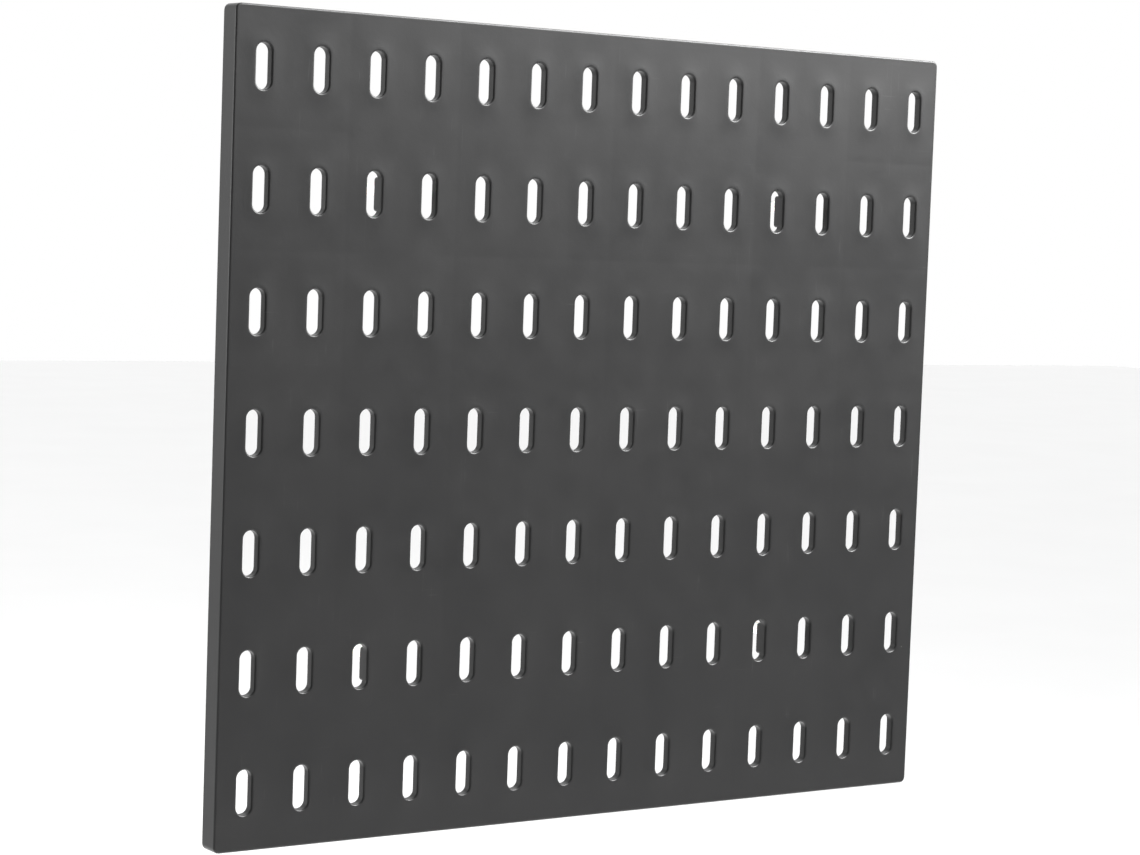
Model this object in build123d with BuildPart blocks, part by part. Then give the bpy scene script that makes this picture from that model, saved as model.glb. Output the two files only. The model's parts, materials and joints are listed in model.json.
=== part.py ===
"""Slotted tool wall board with the screws and plugs that hang it.

Millimetres, +X right, +Z up, +Y into the wall. The wall's surface is y = 0 and
the origin is the centre of the four hanging screws on that surface.
"""
from build123d import *
from math import radians, tan
import os

os.makedirs("parts", exist_ok=True)

# ---- Board ----------------------------------------------------------------
columns = 14
rows = 7
column_pitch = 28.0
row_pitch = 53.0
face_width = 392.0
face_height = 370.6
board_depth = 12.0
skin = 2.2
side_wall = 2.2
side_draft = 1.2
corner_radius = 2.8
front_edge_radius = 1.5

# ---- Slots ----------------------------------------------------------------
slot_width = 7.2
slot_length = 20.2
rim_radius = 0.95
collar_wall = 1.6
collar_depth = 4.7

# ---- Ribs behind the skin ----------------------------------------------------
rib = 1.2
rib_low = 3.0
rib_bite = 0.8
low_rib = 0.8
low_rib_depth = 1.4

# ---- Hanging pockets ---------------------------------------------------------
pocket_columns_from_centre = 4.0
pocket_rows_from_centre = 2.0
pocket_width = column_pitch - slot_width
pocket_height = 15.4
pocket_reach = 7.4
pocket_corner = 1.5
pocket_wall = 1.4
keyhole_plate = 1.6
lift = 5.0

# ---- Screws and plugs ----------------------------------------------------------
shank_radius = 1.75
head_radius = 3.4
head_height = 2.6
screw_length = 38.0
running_gap = 0.4
head_gap = 0.3
plug_radius = 3.0
plug_length = 30.0
plug_bore = 1.8

# ---- Derived positions -----------------------------------------------------------
pocket_x = pocket_columns_from_centre * column_pitch
pocket_z = pocket_rows_from_centre * row_pitch
board_z = -lift / 2
skin_back = board_depth - skin
collar_end = board_depth - collar_depth
pocket_end = board_depth - pocket_reach
draft_spread = 2 * board_depth * tan(radians(side_draft))
rear_width = face_width + draft_spread
rear_height = face_height + draft_spread
rear_radius = corner_radius + draft_spread / 2
rib_span = face_width / 2 - rib_bite
rib_rise = face_height - 2 * rib_bite

# Heights on this plane count from the wall towards the room
wall = Plane(origin=(0, 0, 0), x_dir=(1, 0, 0), z_dir=(0, -1, 0))
board = Plane(origin=(0, 0, board_z), x_dir=(1, 0, 0), z_dir=(0, -1, 0))

# ==== Slotted board ==================================================================
with BuildPart() as slotted_board:
    # Drafted outer block, open side against the wall
    with BuildSketch(board):
        RectangleRounded(rear_width, rear_height, rear_radius)
    extrude(amount=board_depth, taper=side_draft)
    fillet(slotted_board.faces().sort_by(Axis.Y)[0].edges(), front_edge_radius)

    # Hollow behind the skin, drafted like the outside
    with BuildSketch(board):
        RectangleRounded(rear_width - 2 * side_wall, rear_height - 2 * side_wall, rear_radius - side_wall)
    extrude(amount=skin_back, taper=side_draft, mode=Mode.SUBTRACT)

    # Collars round the slots
    with BuildSketch(board.offset(collar_end)):
        with GridLocations(column_pitch, row_pitch, columns, rows):
            SlotOverall(slot_length + 2 * collar_wall, slot_width + 2 * collar_wall, rotation=90)
    extrude(amount=collar_depth - skin / 2)

    # Upright ribs over the full height
    with BuildSketch(board.offset(rib_low)):
        for from_centre in (-5, -3, 0, 3, 5):
            with Locations((from_centre * column_pitch, 0)):
                Rectangle(rib, rib_rise)
    extrude(amount=skin_back - rib_low + skin / 2)

    # Cross ribs between the first two rows, at both ends
    end_rib = rib_span - 5 * column_pitch
    with BuildSketch(board.offset(rib_low)):
        for side in (-1, 1):
            with Locations((side * (5 * column_pitch + end_rib / 2), 2.5 * row_pitch)):
                Rectangle(end_rib, rib)
    extrude(amount=skin_back - rib_low + skin / 2)

    # Cross ribs between the second and third rows, broken beside the pockets
    outer_rib = rib_span - pocket_x - pocket_width / 2
    with BuildSketch(board.offset(rib_low)):
        with Locations((0, 1.5 * row_pitch)):
            Rectangle(6.7 * column_pitch, rib)
        for side in (-1, 1):
            with Locations((side * (rib_span - outer_rib / 2), 1.5 * row_pitch)):
                Rectangle(outer_rib, rib)
    extrude(amount=skin_back - rib_low + skin / 2)

    # Cross rib between the fifth and sixth rows
    with BuildSketch(board.offset(rib_low)):
        with Locations((0, -1.5 * row_pitch)):
            Rectangle(6 * column_pitch, rib)
    extrude(amount=skin_back - rib_low + skin / 2)

    # Low ribs at the feet of the slots in the upper rows
    with BuildSketch(board.offset(skin_back - low_rib_depth)):
        for row_from_centre in (3, 2, 1, 0):
            foot = row_from_centre * row_pitch - slot_length / 2 - low_rib / 2
            with Locations((column_pitch, foot)):
                Rectangle(9 * column_pitch, low_rib)
    extrude(amount=low_rib_depth + skin / 2)

    # Hanging pockets between two slots
    with BuildSketch(board.offset(pocket_end)):
        with GridLocations(2 * pocket_x, 2 * pocket_z, 2, 2):
            RectangleRounded(pocket_width, pocket_height, pocket_corner)
    extrude(amount=pocket_reach - skin / 2)
    with BuildSketch(board.offset(pocket_end + keyhole_plate)):
        with GridLocations(2 * pocket_x, 2 * pocket_z, 2, 2):
            Rectangle(pocket_width - 2 * pocket_wall, pocket_height - 2 * pocket_wall)
    extrude(amount=skin_back - pocket_end - keyhole_plate, mode=Mode.SUBTRACT)

    # Keyholes: the head enters low and the shank rests high
    with BuildSketch(board.offset(pocket_end)):
        with GridLocations(2 * pocket_x, 2 * pocket_z, 2, 2):
            with Locations((0, -lift / 2)):
                Circle(head_radius + running_gap)
            SlotCenterToCenter(lift, 2 * (shank_radius + running_gap), rotation=90)
    extrude(amount=keyhole_plate, mode=Mode.SUBTRACT)

    # Through slots
    with BuildSketch(board):
        with GridLocations(column_pitch, row_pitch, columns, rows):
            SlotOverall(slot_length, slot_width, rotation=90)
    extrude(amount=board_depth, mode=Mode.SUBTRACT)

    # Rounded front rims
    front_face = slotted_board.faces().sort_by(Axis.Y)[0]
    rims = front_face.inner_wires().edges()
    fillet(rims, rim_radius)

slotted_board.part.label = "slotted_board"
export_step(slotted_board.part, "parts/slotted_board.step")

# ==== Wall screws ======================================================================
head_seat = pocket_end + keyhole_plate + head_gap
thread_root = shank_radius - 0.4
thread_pitch = 2.0
thread_turns = 11
cross_arm = 3.6
cross_web = 0.9
cross_depth = 1.5

sides = {"left": -1, "right": 1}
levels = {"upper": 1, "lower": -1}

for level in levels:
    for side in sides:
        centre = (sides[side] * pocket_x, levels[level] * pocket_z)
        with BuildPart() as wall_screw:
            # Pan head
            with BuildSketch(wall.offset(head_seat)):
                with Locations(centre):
                    Circle(head_radius)
            extrude(amount=head_height)
            fillet(wall_screw.edges().sort_by(Axis.Y)[0], 1.1)
            # Shank, thread root and point
            with BuildSketch(wall.offset(head_seat)):
                with Locations(centre):
                    Circle(shank_radius)
            extrude(amount=-(screw_length - thread_turns * thread_pitch - 4))
            with BuildSketch(wall.offset(head_seat)):
                with Locations(centre):
                    Circle(thread_root)
            extrude(amount=-(screw_length - 4))
            with BuildSketch(wall.offset(head_seat - screw_length + 4)):
                with Locations(centre):
                    Circle(thread_root)
            with BuildSketch(wall.offset(head_seat - screw_length)):
                with Locations(centre):
                    Circle(0.25)
            loft()
            # Thread ridges
            for turn in range(thread_turns):
                crest = head_seat - screw_length + 4.6 + turn * thread_pitch
                for low, high in ((0.0, 0.5), (1.0, 0.5)):
                    with BuildSketch(wall.offset(crest + low)):
                        with Locations(centre):
                            Circle(thread_root - 0.05)
                    with BuildSketch(wall.offset(crest + high)):
                        with Locations(centre):
                            Circle(shank_radius)
                    loft()
            # Cross recess
            with BuildSketch(wall.offset(head_seat + head_height)):
                with Locations(centre):
                    Rectangle(cross_arm, cross_web)
                    Rectangle(cross_web, cross_arm)
            extrude(amount=-cross_depth, mode=Mode.SUBTRACT)
        wall_screw.part.label = "wall_screw_" + level + "_" + side
        export_step(wall_screw.part, "parts/" + wall_screw.part.label + ".step")

        # ==== Wall plugs ===============================================================
        with BuildPart() as wall_plug:
            with BuildSketch(wall):
                with Locations(centre):
                    Circle(plug_radius)
                    Circle(plug_bore, mode=Mode.SUBTRACT)
            extrude(amount=-plug_length)
            # Biting grooves
            for groove in range(7):
                with BuildSketch(wall.offset(-9 - groove * 2.6)):
                    with Locations(centre):
                        Circle(plug_radius)
                        Circle(plug_radius - 0.35, mode=Mode.SUBTRACT)
                extrude(amount=-0.9, mode=Mode.SUBTRACT)
            # Split that lets the plug spread
            with BuildSketch(wall.offset(-7)):
                with Locations(centre):
                    Rectangle(0.8, 2 * plug_radius + 1)
            extrude(amount=-plug_length, mode=Mode.SUBTRACT)
        wall_plug.part.label = "wall_plug_" + level + "_" + side
        export_step(wall_plug.part, "parts/" + wall_plug.part.label + ".step")
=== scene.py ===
# %% [markdown]
# # Slotted tool wall board
#
# The object is one shallow black moulding, open at the back, that hangs on four
# screws in four wall plugs. Tool hooks push into its upright slots.
#
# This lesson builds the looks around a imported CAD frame: the board as one fine
# mesh, screws with a real thread, ribbed plugs, and a material for each. Every
# size comes from the frame or is a fraction of a size in it, in metres.

# %% Frame
import json
import math
import bmesh
import bpy
import numpy as np
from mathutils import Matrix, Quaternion, Vector


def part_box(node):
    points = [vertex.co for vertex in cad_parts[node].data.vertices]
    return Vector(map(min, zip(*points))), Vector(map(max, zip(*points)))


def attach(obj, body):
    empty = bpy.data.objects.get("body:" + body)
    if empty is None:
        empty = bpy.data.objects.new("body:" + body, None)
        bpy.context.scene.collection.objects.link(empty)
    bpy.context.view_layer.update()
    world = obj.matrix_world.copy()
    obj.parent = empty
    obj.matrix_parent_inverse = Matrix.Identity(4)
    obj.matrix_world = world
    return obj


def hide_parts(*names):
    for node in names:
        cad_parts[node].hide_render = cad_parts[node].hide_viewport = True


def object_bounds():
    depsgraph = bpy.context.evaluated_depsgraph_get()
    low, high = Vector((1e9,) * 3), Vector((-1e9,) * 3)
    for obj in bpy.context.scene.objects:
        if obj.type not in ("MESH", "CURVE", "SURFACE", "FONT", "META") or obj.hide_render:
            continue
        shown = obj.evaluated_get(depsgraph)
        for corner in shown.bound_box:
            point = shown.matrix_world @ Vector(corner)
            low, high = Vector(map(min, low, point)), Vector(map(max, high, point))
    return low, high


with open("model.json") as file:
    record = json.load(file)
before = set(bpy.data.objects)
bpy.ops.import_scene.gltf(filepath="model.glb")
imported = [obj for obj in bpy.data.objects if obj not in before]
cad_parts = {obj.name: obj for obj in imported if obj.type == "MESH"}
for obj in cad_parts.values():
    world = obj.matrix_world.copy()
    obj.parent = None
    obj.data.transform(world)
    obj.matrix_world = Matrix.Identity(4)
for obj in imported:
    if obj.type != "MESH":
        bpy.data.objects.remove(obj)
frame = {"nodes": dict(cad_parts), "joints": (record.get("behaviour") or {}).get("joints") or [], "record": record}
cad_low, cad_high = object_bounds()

record = frame["record"]
mounts = {m["name"]: m for m in record["mounts"]}
mm = 0.001

# %% [markdown]
# ## The grid
#
# A moulded board like this is drawn from one cell, a slot and the plate round it,
# repeated across and up. The slot's size and its upright pitch are stated in the
# record's slot mount, and the pitch across follows from two stated openings, so
# they are read from there and not typed in again.

# %% Sizes read from the frame
low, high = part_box("slotted_board")
slot_facts = mounts["hook_slots_centre"]["dims"]
slot_radius = slot_facts["hole_r_mm"] * mm
slot_length = slot_facts["slot_length_mm"] * mm
row_pitch = slot_facts["spacing_y_mm"] * mm
openings = {o["name"]: np.array(o["box_m"]).mean(axis=0) for o in record["physics"]["openings"]}
left_slot = openings["hook_slot_column_7_row_1"]
right_slot = openings["hook_slot_column_8_row_1"]
column_pitch = right_slot[0] - left_slot[0]
columns, rows = 14, 7
depth = high.y - low.y
middle_x = (low.x + high.x) / 2
middle_z = (low.z + high.z) / 2
print(f"pitch {column_pitch / mm:.1f} by {row_pitch / mm:.1f} mm, board depth {depth / mm:.1f} mm")

# %% [markdown]
# ## The moulding's own dimensions
#
# These follow the usual rules of injection moulding: one wall thickness all over,
# a little draft so that the part leaves the mould, thinner ribs than walls so that
# the face sinks only faintly over them, and a rounded rim where a hook goes in.

# %% Sizes of the moulding
side_draft = math.radians(1.2)
face_half_x = (high.x - low.x) / 2 - depth * math.tan(side_draft)
face_half_z = (high.z - low.z) / 2 - depth * math.tan(side_draft)
skin = 2.2 * mm
side_wall = 2.2 * mm
corner_radius = 2.8 * mm
edge_radius = 1.1 * mm
rim_radius = 0.95 * mm
collar_wall = 1.6 * mm
collar_depth = 4.7 * mm
rib = 1.2 * mm
rib_low = 3.0 * mm
rib_bite = 0.8 * mm
arc_centre_x = face_half_x - corner_radius
arc_centre_z = face_half_z - corner_radius
print(f"face {2 * face_half_x / mm:.1f} by {2 * face_half_z / mm:.1f} mm")

# %% [markdown]
# ## One cell as nested loops
#
# A stadium hole in a rectangular plate could be cut with a Boolean, but the cut
# leaves long thin triangles that shade badly on a satin face. Nested loops with the
# same number of points give clean quads instead: the plate's rectangle, loops that
# turn slowly into the slot's outline, the rounded rim, the wall, the collar and the
# back of the skin. Neighbouring cells share the points on their border.

# %% Loops with matching points
corner_steps = 2
short_steps = 6
long_steps = 8
loop_points = 2 * (4 * corner_steps + short_steps + long_steps)
inner_corner = 2.4 * mm


def stops(start, end, start_corner, end_corner, steps):
    """Places along one side of a cell, closer together at both corners."""
    head = start + start_corner * np.arange(corner_steps) / corner_steps
    body = np.linspace(start + start_corner, end - end_corner, steps + 1)
    tail = end - end_corner * np.arange(corner_steps - 1, -1, -1) / corner_steps
    return np.concatenate([head, body, tail])


def cell_edges(centre, half_edge, count, pitch):
    """Where the cells of one direction begin and end, from one face edge to the other."""
    inner = centre + (np.arange(count - 1) - (count - 2) / 2) * pitch
    return np.concatenate([[centre - half_edge], inner, [centre + half_edge]])


def rectangle(column, row, round_radius):
    """The border of a cell as a loop from its top left corner, clockwise seen from the room."""
    xs = cell_edges(middle_x, arc_centre_x + round_radius, columns, column_pitch)
    zs = cell_edges(middle_z, arc_centre_z + round_radius, rows, row_pitch)
    x0, x1, z0, z1 = xs[column], xs[column + 1], zs[row], zs[row + 1]
    west = round_radius if column == 0 else inner_corner
    east = round_radius if column == columns - 1 else inner_corner
    south = round_radius if row == 0 else inner_corner
    north = round_radius if row == rows - 1 else inner_corner
    across = stops(x0, x1, west, east, short_steps)
    up = stops(z0, z1, south, north, long_steps)
    top = [(x, z1) for x in across[:-1]]
    right = [(x1, z) for z in up[:0:-1]]
    bottom = [(x, z0) for x in across[:0:-1]]
    left = [(x0, z) for z in up[:-1]]
    loop = np.array(top + right + bottom + left)
    if column in (0, columns - 1) and row in (0, rows - 1):
        side_x = 1 if column else -1
        side_z = 1 if row else -1
        centre = np.array([middle_x + side_x * arc_centre_x, middle_z + side_z * arc_centre_z])
        corner = centre + round_radius * np.array([side_x, side_z])
        near = np.abs(loop - corner).sum(axis=1) <= round_radius * 1.001
        along = (loop[near] - centre) * [side_x, side_z]
        angle = math.radians(45) * (1 + (along[:, 1] - along[:, 0]) / round_radius)
        loop[near] = centre + round_radius * np.column_stack(
            [side_x * np.cos(angle), side_z * np.sin(angle)])
    return loop


def stadium(column, row, grow):
    """The slot's outline grown by a distance, with points that match the rectangle's."""
    radius = slot_radius + grow
    half = slot_length / 2 - slot_radius
    x = middle_x + (column - (columns - 1) / 2) * column_pitch
    z = middle_z + (row - (rows - 1) / 2) * row_pitch
    arc_steps = 2 * corner_steps + short_steps + 2 * corner_steps
    step = math.pi / arc_steps
    first = math.pi - corner_steps * step
    top_arc = [(math.cos(a), math.sin(a), half) for a in
               first - step * np.arange(arc_steps - corner_steps + 1)]
    side = [(1.0, 0.0, half - 2 * half * k / long_steps) for k in range(1, long_steps)]
    bottom_arc = [(math.cos(a), math.sin(a), -half) for a in -step * np.arange(arc_steps + 1)]
    other = [(-1.0, 0.0, -half + 2 * half * k / long_steps) for k in range(1, long_steps)]
    last = [(math.cos(a), math.sin(a), half) for a in math.pi - step * np.arange(corner_steps)]
    shape = np.array(top_arc + side + bottom_arc + other + last)
    return np.column_stack([x + radius * shape[:, 0], z + radius * shape[:, 1] + shape[:, 2]])


print("points in a loop", loop_points, len(rectangle(3, 3, 0)), len(stadium(3, 3, 0)))

# %% [markdown]
# ## How the face sinks
#
# Plastic shrinks most where it is thickest, so the flat face dips a few hundredths
# of a millimetre over every rib, while the stiff collars hold the rims of the slots
# up as low swellings. On a satin black face this unevenness is what the eye reads
# as moulded plastic. It is put in the mesh, as a depth that depends on the place,
# and not painted on.

# %% Sink marks
upright_ribs = [n * column_pitch for n in (-5, -3, 0, 3, 5)]
pocket_x = 4 * column_pitch
pocket_z = 2 * row_pitch
pocket_width = column_pitch - 2 * slot_radius
rib_half_x = face_half_x - rib_bite
rib_half_z = face_half_z - rib_bite
cross_ribs = []
for side in (-1, 1):
    cross_ribs.append((side * 5 * column_pitch, side * rib_half_x, 2.5 * row_pitch))
    cross_ribs.append((side * (pocket_x + pocket_width / 2), side * rib_half_x, 1.5 * row_pitch))
cross_ribs.append((-3.35 * column_pitch, 3.35 * column_pitch, 1.5 * row_pitch))
cross_ribs.append((-3 * column_pitch, 3 * column_pitch, -1.5 * row_pitch))

rib_sink = 0.035 * mm
rib_sink_width = 2.2 * mm
rib_end_fade = 1.5 * mm
lip_rise = 0.22 * mm
lip_width = 4.0 * mm
warp = 0.14 * mm
warp_across, warp_up, warp_slanted = 43 * mm, 51 * mm, 75 * mm


def hump(distance, width):
    """A smooth bump of height 1 that fades out over a width."""
    return np.exp(-(distance / width) ** 2)


def slot_distance(x, z):
    """How far a place on the face is from the wall of the nearest slot."""
    u = (x + column_pitch * columns / 2) % column_pitch - column_pitch / 2
    v = (z + row_pitch * rows / 2) % row_pitch - row_pitch / 2
    v = np.maximum(np.abs(v) - (slot_length / 2 - slot_radius), 0)
    return np.hypot(u, v) - slot_radius


def sink(points):
    """How deep the face lies below its highest level at each (x, z), in metres."""
    x = points[:, 0] - middle_x
    z = points[:, 1] - middle_z
    deep = np.zeros(len(points))
    for rib_x in upright_ribs:
        deep += rib_sink * hump(x - rib_x, rib_sink_width)
    for start, end, rib_z in cross_ribs:
        middle, half = (start + end) / 2, abs(end - start) / 2
        fade = 1 / (1 + np.exp((np.abs(x - middle) - half) / rib_end_fade))
        deep += rib_sink * fade * hump(z - rib_z, rib_sink_width)
    deep += lip_rise * (1 - hump(slot_distance(x, z), lip_width))
    slow = np.sin(x / warp_across + 1.1) * np.cos(z / warp_up + 0.4)
    slow += np.sin((x + 2 * z) / warp_slanted)
    deep += warp * (0.5 + slow / 4)
    return deep


probe = sink(np.column_stack([np.linspace(low.x, high.x, 400), np.full(400, middle_z)]))
print(f"face sinks between {probe.min() / mm:.3f} and {probe.max() / mm:.3f} mm")

# %% [markdown]
# ## The shell
#
# Going inwards from a cell's border, each entry below is a loop: how far it is
# outside the slot, how high above the wall, or how much of the way from border to
# slot. The two halves of the slot wall lean apart by a hair, because the mould's two
# halves meet inside the slot. That leaves the fine parting line a real slot shows.

# %% Shell of the board
parting = depth - 2.9 * mm
front_lean = 0.07 * mm
rear_lean = 0.05 * mm
skin_back = depth - skin
collar_end = depth - collar_depth
rim_steps = 4
edge_steps = 5
flat_margin = 1.3 * mm
flat_shares = (0, 0.06, 0.16, 0.32, 0.55, 0.8, 1)
collar_edge = 0.25 * mm
collar_foot = collar_wall + 0.1 * mm


def place(points, height):
    """Points on the board (x, z) and heights above the wall, as places in the row frame."""
    y = high.y - np.broadcast_to(height, len(points))
    return np.column_stack([points[:, 0], y, points[:, 1]])


def cell_loops(column, row):
    """Every loop of one cell, from the face's border through the slot to the back's border."""
    border = rectangle(column, row, corner_radius - edge_radius)
    ring = stadium(column, row, front_lean + rim_radius + flat_margin)
    loops = []
    for share in flat_shares:
        points = border * (1 - share) + ring * share
        loops.append(place(points, depth - sink(points)))
    for k in range(rim_steps + 1):
        turn = math.radians(90) * k / rim_steps
        points = stadium(column, row, front_lean + rim_radius * (1 - math.sin(turn)))
        drop = rim_radius * (1 - math.cos(turn))
        loops.append(place(points, depth - sink(points) * (1 - k / rim_steps) - drop))
    wall = [(0, parting), (rear_lean, collar_end + collar_edge), (rear_lean + collar_edge, collar_end),
            (collar_wall - collar_edge, collar_end), (collar_wall, collar_end + collar_edge),
            (collar_foot, skin_back)]
    for grow, height in wall:
        loops.append(place(stadium(column, row, grow), height))
    inner_radius = corner_radius - side_wall + (depth - skin_back) * math.tan(side_draft)
    border = rectangle(column, row, inner_radius)
    ring = stadium(column, row, collar_foot)
    for share in (0.6, 1):
        points = ring * (1 - share) + border * share
        loops.append(place(points, skin_back))
    return loops


def outline(round_radius):
    """The board's outline as one loop, made from the borders of its outer cells."""
    top = range(columns)
    side = range(rows)
    across = 2 * corner_steps + short_steps
    up = 2 * corner_steps + long_steps
    parts = [rectangle(c, rows - 1, round_radius)[:across] for c in top]
    parts += [rectangle(columns - 1, r, round_radius)[across:across + up] for r in reversed(side)]
    parts += [rectangle(c, 0, round_radius)[across + up:2 * across + up] for c in reversed(top)]
    parts += [rectangle(0, r, round_radius)[2 * across + up:] for r in side]
    return np.concatenate(parts)


def side_loops():
    """The loops of the outer edge, the side wall, the rim on the wall and the inner side."""
    loops = []
    for k in range(edge_steps + 1):
        turn = math.radians(90) * k / edge_steps
        points = outline(corner_radius - edge_radius * (1 - math.sin(turn)))
        drop = edge_radius * (1 - math.cos(turn))
        loops.append(place(points, depth - sink(points) * (1 - k / edge_steps) - drop))
    spread = depth * math.tan(side_draft)
    outer = corner_radius + spread
    inner = outer - side_wall
    lean = math.tan(side_draft)
    rear = [(outer - 0.4 * mm * lean, 0.4 * mm), (outer - 0.3 * mm, 0), (inner + 0.25 * mm, 0),
            (inner - 0.3 * mm * lean, 0.3 * mm), (inner - skin_back * lean, skin_back)]
    for radius, height in rear:
        loops.append(place(outline(radius), height))
    return loops


def shell_mesh(name):
    """All cells and the sides joined into one closed mesh."""
    verts, faces = [], []

    def add(loops):
        n = len(loops[0])
        start = sum(len(v) for v in verts)
        verts.extend(loops)
        index = start + np.arange(len(loops) * n).reshape(len(loops), n)
        a, b = index[:-1], index[1:]
        quads = np.stack([a, np.roll(a, -1, 1), np.roll(b, -1, 1), b], axis=-1)
        faces.append(quads.reshape(-1, 4))

    for column in range(columns):
        for row in range(rows):
            add(cell_loops(column, row))
    add(side_loops())
    mesh = bpy.data.meshes.new(name)
    mesh.from_pydata(np.concatenate(verts).tolist(), [], np.concatenate(faces).tolist())
    shell = bmesh.new()
    shell.from_mesh(mesh)
    bmesh.ops.remove_doubles(shell, verts=shell.verts, dist=1e-6)
    bmesh.ops.recalc_face_normals(shell, faces=shell.faces)
    loose = [e for e in shell.edges if len(e.link_faces) != 2]
    print(name, "faces", len(shell.faces), "open edges", len(loose))
    shell.to_mesh(mesh)
    shell.free()
    return mesh


board_piece = bpy.data.objects.new("tool_board", shell_mesh("tool_board"))
bpy.context.scene.collection.objects.link(board_piece)

# %% [markdown]
# ## Ribs, pockets and keyholes
#
# What stands behind the skin has plain shapes that cross the collars and each
# other, so here a Boolean is the right tool: tapered bars and boxes are joined to
# the shell, then the pockets' insides and the keyholes are cut. The Manifold solver
# keeps every quad it doesn't touch, so the fine face stays as it was.

# %% Plain closed shapes


def loft(name, outlines):
    """A closed solid through several loops of places, all with the same number of points."""
    count = len(outlines[0])
    solid = bmesh.new()
    rings = [[solid.verts.new(p) for p in loop] for loop in outlines]
    for a, b in zip(rings, rings[1:]):
        for k in range(count):
            solid.faces.new((a[k], a[(k + 1) % count], b[(k + 1) % count], b[k]))
    solid.faces.new(rings[0][::-1])
    solid.faces.new(rings[-1])
    bmesh.ops.recalc_face_normals(solid, faces=solid.faces)
    mesh = bpy.data.meshes.new(name)
    solid.to_mesh(mesh)
    solid.free()
    return mesh


def box_outline(x, z, half_x, half_z, height):
    """A rectangle centred on a place of the board, at a height above the wall."""
    corners = np.array([(-1, -1), (1, -1), (1, 1), (-1, 1)]) * (half_x, half_z)
    return place(corners + (middle_x + x, middle_z + z), height)


def bar(x, z, half_x, half_z, bottom, top, taper=0.0):
    """A straight bar that gets thinner away from the skin by the taper."""
    thin = box_outline(x, z, half_x - taper, half_z - taper, bottom)
    return loft("bar", [thin, box_outline(x, z, half_x, half_z, top)])


def joined(name, meshes):
    """Several separate closed shapes in one mesh."""
    whole = bmesh.new()
    for mesh in meshes:
        whole.from_mesh(mesh)
        bpy.data.meshes.remove(mesh)
    mesh = bpy.data.meshes.new(name)
    whole.to_mesh(mesh)
    whole.free()
    return mesh


def combine(piece, mesh, operation):
    """Joins a mesh to a piece, or cuts it away."""
    tool = bpy.data.objects.new("tool", mesh)
    bpy.context.scene.collection.objects.link(tool)
    modifier = piece.modifiers.new("combine", "BOOLEAN")
    modifier.operation = operation
    modifier.solver = "MANIFOLD"
    modifier.object = tool
    bpy.context.view_layer.update()
    done = bpy.data.meshes.new_from_object(piece.evaluated_get(bpy.context.evaluated_depsgraph_get()))
    piece.modifiers.clear()
    old = piece.data
    piece.data = done
    bpy.data.meshes.remove(old)
    bpy.data.objects.remove(tool)
    bpy.data.meshes.remove(mesh)


# %% Ribs behind the skin
root = depth - skin / 2
rib_taper = 0.15 * mm
uprights = [bar(x, 0, rib / 2, rib_half_z, rib_low, root, rib_taper) for x in upright_ribs]
combine(board_piece, joined("uprights", uprights), "UNION")
crossings = [bar((start + end) / 2, z, abs(end - start) / 2, rib / 2, rib_low, root, rib_taper)
             for start, end, z in cross_ribs]
combine(board_piece, joined("crossings", crossings), "UNION")
foot_rib = 0.8 * mm
foot_depth = 1.4 * mm
foot_drop = slot_length / 2 + 0.4 * mm + foot_rib / 2
feet = [bar(column_pitch, n * row_pitch - foot_drop, 4.5 * column_pitch, foot_rib / 2,
            skin_back - foot_depth, root) for n in (3, 2, 1, 0)]
combine(board_piece, joined("feet", feet), "UNION")
print("ribs", len(uprights) + len(crossings) + len(feet), "faces", len(board_piece.data.polygons))

# %% Hanging pockets with keyholes
pocket_height = 15.4 * mm
pocket_end = depth - 7.4 * mm
pocket_corner = 1.5 * mm
pocket_wall = 1.4 * mm
keyhole_plate = 1.6 * mm
lift = frame["joints"][0]["range_m"][1]
entry_radius = 3.8 * mm
shank_slot_radius = 2.15 * mm


def keyhole(x, z):
    """The keyhole's outline: a round entry below and a slot that ends above."""
    meet = math.acos(shank_slot_radius / entry_radius)
    lower = np.linspace(math.pi - meet, 2 * math.pi + meet, 33)
    upper = np.linspace(0, math.pi, 15)
    entry = np.column_stack([np.cos(lower), np.sin(lower)]) * entry_radius - (0, lift / 2)
    end = np.column_stack([np.cos(upper), np.sin(upper)]) * shank_slot_radius + (0, lift / 2)
    return np.concatenate([entry, end]) + (middle_x + x, middle_z + z)


def rounded_box(x, z):
    """The pocket's outside with rounded corners."""
    turns = np.linspace(0, math.pi / 2, 5)
    quarter = np.column_stack([np.cos(turns), np.sin(turns)]) * pocket_corner
    corner = quarter + (pocket_width / 2 - pocket_corner, pocket_height / 2 - pocket_corner)
    halves = [corner, corner[::-1] * (-1, 1), corner * (-1, -1), corner[::-1] * (1, -1)]
    return np.concatenate(halves) + (middle_x + x, middle_z + z)


pockets = [(sx * pocket_x, sz * pocket_z) for sx in (-1, 1) for sz in (-1, 1)]
boxes = [loft("box", [place(rounded_box(x, z), pocket_end), place(rounded_box(x, z), root)])
         for x, z in pockets]
combine(board_piece, joined("boxes", boxes), "UNION")
hollows = [bar(x, z, pocket_width / 2 - pocket_wall, pocket_height / 2 - pocket_wall,
               pocket_end + keyhole_plate, skin_back) for x, z in pockets]
combine(board_piece, joined("hollows", hollows), "DIFFERENCE")
holes = [loft("hole", [place(keyhole(x, z), pocket_end - 1 * mm),
                       place(keyhole(x, z), pocket_end + keyhole_plate + 0.5 * mm)])
         for x, z in pockets]
combine(board_piece, joined("holes", holes), "DIFFERENCE")

# %% [markdown]
# ## Wear along the edges
#
# Hooks and hands polish black plastic first where it stands out: along the slots'
# rims and the outer edge. A number stored on every point of the mesh tells the
# material where that is, so the wear follows the shape in every view.

# %% Where the edges are


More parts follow.
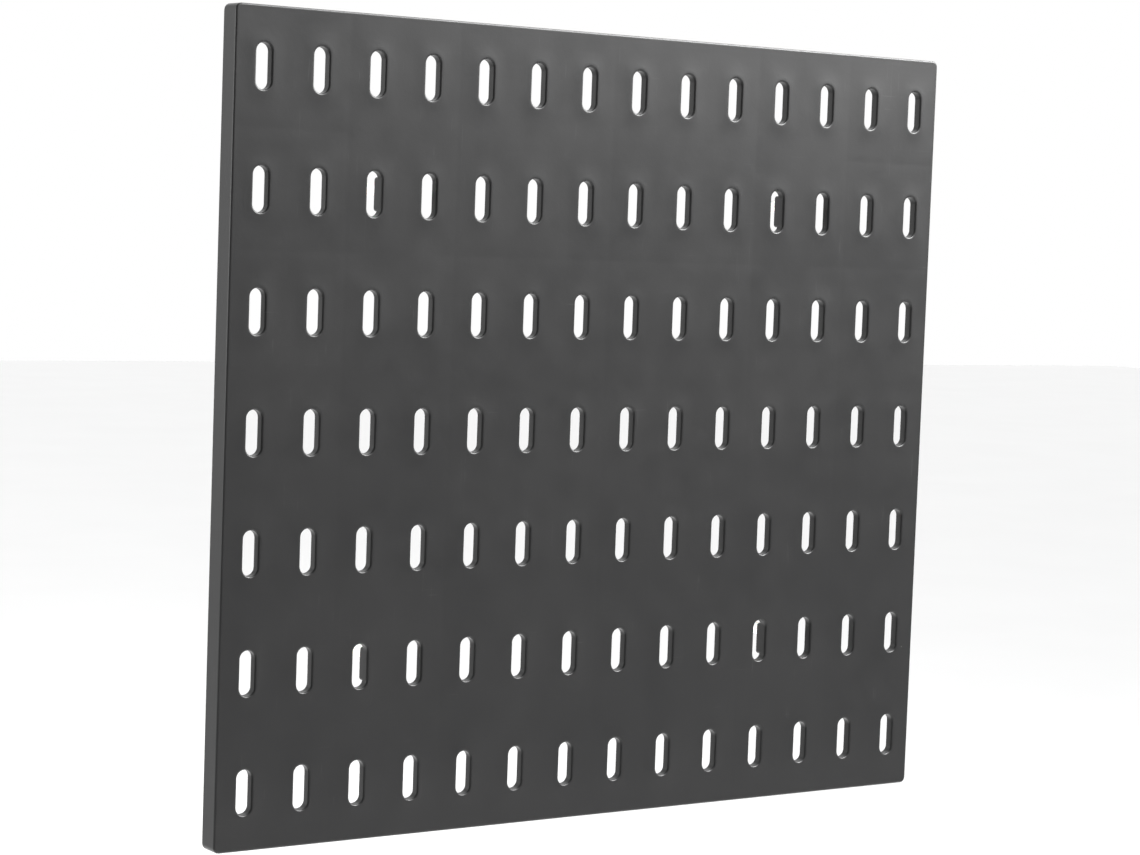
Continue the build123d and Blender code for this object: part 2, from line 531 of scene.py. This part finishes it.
def edge_share(points):
    """1 on the shoulders of the rims and of the outer edge, falling to 0 on the flat face."""
    x = points[:, 0] - middle_x
    z = points[:, 2] - middle_z
    height = high.y - points[:, 1]
    near_face = height > depth - edge_radius
    rim = hump(slot_distance(x, z) - 0.55 * rim_radius, 0.9 * rim_radius)
    outer = np.minimum(face_half_x - np.abs(x), face_half_z - np.abs(z))
    return np.where(near_face, np.maximum(rim, hump(outer - 0.4 * edge_radius, edge_radius)), 0.0)


def finish(piece, body, node):
    """Smooth shading with crisp corners, and the piece's place in the frame."""
    for polygon in piece.data.polygons:
        polygon.use_smooth = True
    piece.data.set_sharp_from_angle(angle=math.radians(35))
    weighted = piece.modifiers.new("flat faces stay flat", "WEIGHTED_NORMAL")
    weighted.keep_sharp = True
    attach(piece, body)
    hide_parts(node)
    check = bmesh.new()
    check.from_mesh(piece.data)
    loose = sum(len(e.link_faces) != 2 for e in check.edges)
    print(piece.name, "faces", len(check.faces), "open edges", loose)
    check.free()


board_points = np.array([v.co for v in board_piece.data.vertices])
edge_mark = board_piece.data.attributes.new("edge_share", "FLOAT", "POINT")
edge_mark.data.foreach_set("value", edge_share(board_points).astype(np.float32))
finish(board_piece, "board", "slotted_board")

# %% [markdown]
# ## Screws
#
# A pan head screw is turned round its axis, so it is a loft through rings. The
# thread isn't a stack of rings but one ridge that climbs as it goes round: each
# point's radius depends on its height plus its share of a turn, so the mesh stays a
# plain grid. The cross recess is cut with two tapered bars.

# %% Screw
screw_boxes = {n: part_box(n) for n in frame["nodes"] if n.startswith("wall_screw")}
screw_low, screw_high = screw_boxes["wall_screw_upper_left"]
head_radius = (screw_high.x - screw_low.x) / 2
head_top = high.y - screw_low.y
screw_tip = high.y - screw_high.y
head_height = 2.6 * mm
head_seat = head_top - head_height
shank_radius = 1.75 * mm
thread_root = 1.35 * mm
thread_pitch = 2.0 * mm
thread_low = screw_tip + 4 * mm
thread_high = screw_tip + 26 * mm
screw_points = 28
turn_angles = np.linspace(0, 2 * math.pi, screw_points, endpoint=False)


def ring(x, z, radii, height):
    """A round loop on the board's places, with one radius or one for each point."""
    circle = np.column_stack([np.cos(turn_angles), np.sin(turn_angles)])
    return place(circle * np.reshape(radii, (-1, 1)) + (middle_x + x, middle_z + z), height)


def thread_radii(height):
    """The radius at every point round the screw, with the ridge fading in and out."""
    body = thread_root - (thread_root - 0.25 * mm) * np.clip((thread_low - height) / (4 * mm), 0, 1)
    phase = (height / thread_pitch + turn_angles / (2 * math.pi)) % 1
    ridge = np.clip(1 - np.abs(phase - 0.5) / 0.24, 0, 1)
    fade_in = np.clip((height - screw_tip) / (5 * mm), 0, 1)
    fade_out = np.clip((thread_high - height) / (1.2 * mm), 0, 1)
    return body + (shank_radius - thread_root) * ridge * fade_in * fade_out


def screw_mesh(name, x, z):
    """Point, thread, plain shank and head, from the tip up."""
    rings = [ring(x, z, thread_radii(h), h) for h in np.arange(screw_tip, thread_high, 0.2 * mm)]
    crown = 1.1 * mm
    profile = [(thread_root, thread_high), (shank_radius - 0.05 * mm, thread_high + 0.5 * mm),
               (shank_radius - 0.05 * mm, head_seat), (head_radius - 0.15 * mm, head_seat),
               (head_radius, head_seat + 0.15 * mm)]
    for k in range(6):
        turn = math.radians(90) * k / 5
        inwards = crown * (1 - math.cos(turn))
        below = crown * (1 - math.sin(turn))
        profile.append((head_radius - inwards, head_top - below))
    rings += [ring(x, z, radius, height) for radius, height in profile]
    return loft(name, rings)


def recess_bar(x, z, half_x, half_z):
    """One arm of the cross recess, narrower at its floor."""
    floor_outline = box_outline(x, z, 0.62 * half_x, 0.7 * half_z, head_top - 1.5 * mm)
    return loft("arm", [floor_outline, box_outline(x, z, half_x, half_z, head_top + 0.2 * mm)])


screws = []
for node, (box_low, box_high) in screw_boxes.items():
    x = (box_low.x + box_high.x) / 2 - middle_x
    z = (box_low.z + box_high.z) / 2 - middle_z
    screw = bpy.data.objects.new(node.replace("wall_screw", "threaded_screw"), screw_mesh(node, x, z))
    bpy.context.scene.collection.objects.link(screw)
    for half_x, half_z in ((1.85 * mm, 0.48 * mm), (0.48 * mm, 1.85 * mm)):
        combine(screw, recess_bar(x, z, half_x, half_z), "DIFFERENCE")
    finish(screw, "wall_fixings", node)
    screws.append(screw)
print(f"screws {(head_top - screw_tip) / mm:.1f} mm long, thread pitch {thread_pitch / mm:.1f} mm")

# %% [markdown]
# ## Wall plugs
#
# A plug is a nylon tube that grips the drilled hole with a row of barbs and spreads
# along a split when the screw goes in. The barbs are a saw-tooth profile turned
# round the axis; the bore and the split are cut out of it.

# %% Plug
plug_boxes = {n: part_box(n) for n in frame["nodes"] if n.startswith("wall_plug")}
plug_low, plug_high = plug_boxes["wall_plug_upper_left"]
plug_radius = (plug_high.x - plug_low.x) / 2
plug_end = high.y - plug_high.y
plug_bore = 1.8 * mm
barb_pitch = 2.6 * mm
barb_first = 8.0 * mm
barbs = 7


def plug_profile():
    """Radius and height along the plug, from its mouth at the wall to its end."""
    profile = [(plug_radius - 0.25 * mm, 0), (plug_radius, -0.25 * mm), (plug_radius, -barb_first)]
    for k in range(barbs):
        start = barb_first + k * barb_pitch
        profile.append((plug_radius - 0.45 * mm, -start - 0.12 * mm))
        profile.append((plug_radius - 0.40 * mm, -start - 0.7 * mm))
        profile.append((plug_radius - 0.02 * mm, -start - barb_pitch + 0.15 * mm))
        profile.append((plug_radius, -start - barb_pitch))
    profile.append((plug_radius - 0.3 * mm, plug_end + 1.2 * mm))
    profile.append((plug_radius - 0.9 * mm, plug_end))
    return profile


plugs = []
for node, (box_low, box_high) in plug_boxes.items():
    x = (box_low.x + box_high.x) / 2 - middle_x
    z = (box_low.z + box_high.z) / 2 - middle_z
    tube = loft(node, [ring(x, z, radius, height) for radius, height in plug_profile()])
    plug = bpy.data.objects.new(node.replace("wall_plug", "barbed_plug"), tube)
    bpy.context.scene.collection.objects.link(plug)
    bore = loft("bore", [ring(x, z, plug_bore, 1 * mm), ring(x, z, plug_bore, plug_end - 1 * mm)])
    combine(plug, bore, "DIFFERENCE")
    combine(plug, bar(x, z, 0.4 * mm, plug_radius + 1 * mm, plug_end - 1 * mm, -7 * mm), "DIFFERENCE")
    finish(plug, "wall_fixings", node)
    plugs.append(plug)
print(f"plugs {2 * plug_radius / mm:.1f} mm thick, {-plug_end / mm:.1f} mm long, {barbs} barbs")

# %% [markdown]
# ## A small language for materials
#
# Materials are graphs of nodes. Written out node by node they are hard to read, so
# one small class stands for a socket: arithmetic on it adds Math nodes, and its
# `node` method adds any other node.

# %% The socket class


class Signal:
    """An output socket of a node tree, on which sums and products can be written."""

    def __init__(self, tree, output=None):
        self.tree = tree
        self.output = output

    def node(self, kind, settings=None, inputs=None, output=0):
        """Adds a node: its settings first, then the values or signals of its sockets."""
        node = self.tree.nodes.new("ShaderNode" + kind)
        for name, value in (settings or {}).items():
            setattr(node, name, value)
        for key, value in (inputs or {}).items():
            if isinstance(value, Signal):
                self.tree.links.new(value.output, node.inputs[key])
            else:
                node.inputs[key].default_value = value
        return Signal(self.tree, node.outputs[output])

    def math(self, operation, *values):
        return self.node("Math", {"operation": operation}, dict(enumerate(values)))

    def mix(self, share, first, second):
        """A colour between two colours."""
        inputs = {"Factor": share, 6: first, 7: second}
        return self.node("Mix", {"data_type": "RGBA"}, inputs, 2)

    def clamp(self, low_end, high_end):
        """0 below the low end, 1 above the high end, and smooth between them."""
        settings = {"interpolation_type": "SMOOTHSTEP"}
        return self.node("MapRange", settings, {0: self, 1: low_end, 2: high_end})

    def __add__(self, other):
        return self.math("ADD", self, other)

    def __sub__(self, other):
        return self.math("SUBTRACT", self, other)

    def __rsub__(self, other):
        return self.math("SUBTRACT", other, self)

    def __mul__(self, other):
        return self.math("MULTIPLY", self, other)

    def __pow__(self, other):
        return self.math("POWER", self, other)

    __radd__ = __add__
    __rmul__ = __mul__


def new_material(name, pieces):
    """A material on some pieces: its shader node and a signal to start expressions from."""
    material = bpy.data.materials.new(name)
    material.use_nodes = True
    for piece in pieces:
        piece.data.materials.clear()
        piece.data.materials.append(material)
    shader = material.node_tree.nodes["Principled BSDF"]
    return shader, Signal(material.node_tree)


def feed(shader, name, signal):
    """Links a signal to one of the shader's sockets."""
    signal.tree.links.new(signal.output, shader.inputs[name])


def grey(value):
    return (value, value, value, 1)


# %% [markdown]
# ## Black moulded plastic
#
# The board is polypropylene coloured through with carbon black. The mould's face is
# spark-eroded, which leaves a fine even grain that spreads the gloss; over it lie a
# slow waviness of the flow, hairline scratches that all run nearly upright where
# hooks are hung in, a little polish on the rims, and a few specks of dust.

# %% Board material
shader, make = new_material("black_moulded_plastic", [board_piece])
where = make.node("TexCoord", output="Object")


def noise(scale, detail=2.0, spot=None):
    """Smooth random values with a number of blobs to the metre."""
    inputs = {"Vector": spot or where, "Scale": scale, "Detail": detail}
    return make.node("TexNoise", {}, inputs)


def stretched(scale, turn):
    """Places squeezed along one direction, so that a texture on them becomes streaks."""
    settings = {"vector_type": "POINT"}
    inputs = {"Vector": where, "Rotation": (0, turn, 0), "Scale": scale}
    return make.node("Mapping", settings, inputs)


flow = noise(16.0, 3.0)
haze = noise(70.0, 4.0)
grain = noise(2600.0, 1.0)
peel = noise(420.0, 2.0)
upright_hairs = noise(1.0, 2.0, stretched((1500.0, 300.0, 26.0), math.radians(6)))
level_hairs = noise(1.0, 2.0, stretched((30.0, 300.0, 1300.0), math.radians(-4)))
scuffed = haze.clamp(0.50, 0.72)
hairs = upright_hairs.clamp(0.66, 0.74) + level_hairs.clamp(0.69, 0.76)
scratches = hairs * scuffed
worn = make.node("Attribute", {"attribute_name": "edge_share"}, output="Fac")
polish = worn * haze.clamp(0.42, 0.6)
cells = {"Vector": where, "Scale": 95.0, "Randomness": 1.0}
speck_distance = make.node("TexVoronoi", {"feature": "F1"}, cells, "Distance")
speck_colour = make.node("TexVoronoi", {"feature": "F1"}, cells, "Color")
chosen = make.node("SeparateColor", {}, {0: speck_colour}).clamp(0.90, 0.96)
specks = (1 - speck_distance.clamp(0.010, 0.026)) * chosen

black = make.mix(flow, (0.0034, 0.0035, 0.0037, 1), (0.0056, 0.0055, 0.0055, 1))
scuffs = make.mix(scratches * 0.2, black, (0.06, 0.06, 0.06, 1))
dusty = make.mix(specks * 0.55, scuffs, (0.22, 0.21, 0.20, 1))
feed(shader, "Base Color", dusty)
satin = 0.36 + flow * 0.07 + haze * 0.10
feed(shader, "Roughness", satin + specks * 0.2 - polish * 0.05 - scratches * 0.05)
wavy = {"Strength": 1.0, "Distance": 0.05 * mm, "Height": peel * 0.35 + haze * 0.65}
waves = make.node("Bump", {}, wavy)
grainy = {"Strength": 0.55, "Distance": 0.02 * mm, "Height": grain - scratches * 0.5, "Normal": waves}
feed(shader, "Normal", make.node("Bump", {}, grainy))
shader.inputs["IOR"].default_value = 1.33
print("black_moulded_plastic nodes", len(shader.id_data.nodes))

# %% [markdown]
# ## Zinc on the screws
#
# Bright zinc plating is a metal coat with a slightly blue cast that clouds as it
# ages. The driver scores the head, so the scratches are finest there; a little
# yellow passivation collects in the thread.

# %% Screw material
shader, make = new_material("bright_zinc", screws)
where = make.node("TexCoord", output="Object")
cloud = noise(320.0, 3.0)
scores = noise(1.0, 2.0, stretched((2600.0, 400.0, 500.0), math.radians(35)))
stain = noise(900.0, 2.0).clamp(0.52, 0.7)
zinc = make.mix(cloud, (0.60, 0.62, 0.64, 1), (0.78, 0.79, 0.78, 1))
feed(shader, "Base Color", make.mix(stain * 0.4, zinc, (0.62, 0.56, 0.40, 1)))
feed(shader, "Roughness", 0.24 + cloud * 0.12 + scores.clamp(0.55, 0.7) * 0.12 + stain * 0.1)
shader.inputs["Metallic"].default_value = 1.0
scored = {"Strength": 0.5, "Distance": 0.02 * mm, "Height": scores + cloud * 0.5}
feed(shader, "Normal", make.node("Bump", {}, scored))
print("bright_zinc nodes", len(shader.id_data.nodes))

# %% [markdown]
# ## Natural nylon
#
# Uncoloured nylon is milky and lets a little light in, so its shade comes partly
# from below the surface. Plugs are moulded fast: flow lines run along them and the
# gloss is uneven.

# %% Plug material
shader, make = new_material("natural_nylon", plugs)
where = make.node("TexCoord", output="Object")
milk = noise(240.0, 3.0)
flow_lines = noise(1.0, 2.0, stretched((1400.0, 60.0, 1400.0), 0.0))
feed(shader, "Base Color", make.mix(milk, (0.80, 0.80, 0.76, 1), (0.88, 0.88, 0.85, 1)))
feed(shader, "Roughness", 0.34 + milk * 0.12 + flow_lines * 0.08)
lined = {"Strength": 0.5, "Distance": 0.03 * mm, "Height": flow_lines + milk * 0.4}
feed(shader, "Normal", make.node("Bump", {}, lined))
shader.inputs["Subsurface Weight"].default_value = 0.2
shader.inputs["Subsurface Scale"].default_value = 1.5 * mm
print("natural_nylon nodes", len(shader.id_data.nodes))

# %% [markdown]
# ## Floor and surroundings
#
# The board is shown in a white studio. The floor is a wide pale sheet well below
# it. The surroundings are white too, but not evenly: satin black shows almost only
# what it mirrors. They are brightest behind it on the left, which lights the side
# wall and the slots' inner walls, and bright high behind it, which draws the bright
# crescents inside the slots. They are darkest where the viewer stands, which draws
# the dark line round each rim.

# %% Floor
scene = bpy.context.scene
scene.view_settings.view_transform = "Standard"
reach = 14.0
floor_level = cad_low.z - 0.60
corners = [(-reach, -reach), (reach, -reach), (reach, reach), (-reach, reach)]
floor_mesh = bpy.data.meshes.new("floor")
floor_mesh.from_pydata([(x, y, floor_level) for x, y in corners], [], [(0, 1, 2, 3)])
floor = bpy.data.objects.new("floor", floor_mesh)
scene.collection.objects.link(floor)
shader, make = new_material("pale_floor", [floor])
where = make.node("TexCoord", output="Object")
feed(shader, "Base Color", make.mix(noise(3.0, 2.0), grey(0.93), grey(0.96)))
shader.inputs["Roughness"].default_value = 0.9
shader.inputs["Specular IOR Level"].default_value = 0.1
print(f"floor {reach * 2:.0f} m wide, {-floor_level:.2f} m below the screws' centre")

# %% Surroundings
sky_level, high_glow, left_glow, viewer_shade = 0.29, 2.9, 4.2, 0.28
viewer_side = Vector((-0.52, -0.85, 0.0)).normalized()
left_side = Vector((-0.86, 0.46, 0.20)).normalized()
high_behind = Vector((0.25, 0.60, 0.75)).normalized()
world = bpy.data.worlds.new("studio")
scene.world = world
world.use_nodes = True
sky = Signal(world.node_tree)
direction = sky.node("TexCoord", output="Generated")


def towards(side, sharpness):
    """1 in one direction of the surroundings, falling off to 0 at right angles to it."""
    inputs = {0: direction, 1: tuple(side)}
    facing = sky.node("VectorMath", {"operation": "DOT_PRODUCT"}, inputs, "Value")
    return facing.math("MAXIMUM", facing, 0.0) ** sharpness


lit = towards(high_behind, 7.0) * high_glow + towards(left_side, 8.0) * left_glow
glow = sky_level + lit - towards(viewer_side, 4.0) * viewer_shade
seen_directly = sky.node("LightPath", output="Is Camera Ray")
brightness = glow * (1 - seen_directly) + seen_directly * 1.0
background = world.node_tree.nodes["Background"]
background.inputs["Color"].default_value = (1, 1, 1, 1)
world.node_tree.links.new(brightness.output, background.inputs["Strength"])
print("surroundings nodes", len(world.node_tree.nodes))

# %% [markdown]
# ## Lights
#
# One large soft light hangs in front of the board, above it and to the right. Its
# mirror image lies just above the face, so the gloss grows upwards. A second one,
# lower and further to the right, makes it grow towards the right edge too. A small
# one to the left lights the side wall and draws the bright line on its front edge.

# %% Soft lights
face_centre = Vector((middle_x, low.y, middle_z))


def soft_light(name, azimuth, elevation, distance, size, watts):
    """An area light that faces the board, placed by its direction from the face's centre."""
    turn, rise = math.radians(azimuth), math.radians(elevation)
    away = Vector((math.sin(turn) * math.cos(rise), -math.cos(turn) * math.cos(rise), math.sin(rise)))
    lamp = bpy.data.lights.new(name, "AREA")
    lamp.shape = "DISK"
    lamp.size = size
    lamp.energy = watts
    light = bpy.data.objects.new(name, lamp)
    light.location = face_centre + away * distance
    light.rotation_euler = away.to_track_quat("Z", "Y").to_euler()
    light.visible_camera = False
    scene.collection.objects.link(light)
    print(f"{name}: {watts:.0f} W, {distance:.1f} m away")


soft_light("key_light", 48, 47, 1.3, 1.0, 104)
soft_light("right_light", 72, 30, 1.3, 0.8, 34)
soft_light("left_light", -108, 6, 1.2, 0.5, 9)

# %% [markdown]
# ## Camera
#
# A long lens from a little more than a metre, standing to the left of the board and
# slightly above its middle, and held almost level. The whole board fills the frame.

# %% Camera
camera_distance = 1.2592
camera_azimuth = math.radians(-33.577)
camera_elevation = math.radians(4.195)
camera_roll = math.radians(2.087)
aim = face_centre + Vector((-0.01837, 0, 0.00093))
back = Vector((math.sin(camera_azimuth) * math.cos(camera_elevation),
               -math.cos(camera_azimuth) * math.cos(camera_elevation),
               math.sin(camera_elevation)))
camera_data = bpy.data.cameras.new("camera")
camera_data.lens = 84.1
camera_data.sensor_width = 36
camera_data.clip_end = 50
camera = bpy.data.objects.new("camera", camera_data)
camera.location = face_centre + back * camera_distance
camera.rotation_mode = "QUATERNION"
look = (aim - camera.location).to_track_quat("-Z", "Y")
camera.rotation_quaternion = look @ Quaternion((0, 0, 1), camera_roll)
scene.collection.objects.link(camera)
scene.camera = camera
bpy.context.view_layer.update()
print(f"camera {camera_distance:.3f} m away, lens {camera_data.lens:.1f} mm")

# %% [markdown]
# ## Measured size
#
# The frame's own box and the box of everything that shows are written out side by
# side, so that a difference in size is seen at once. The two should agree.

# %% Size
print("frame", [round(v / mm, 1) for v in cad_high - cad_low])
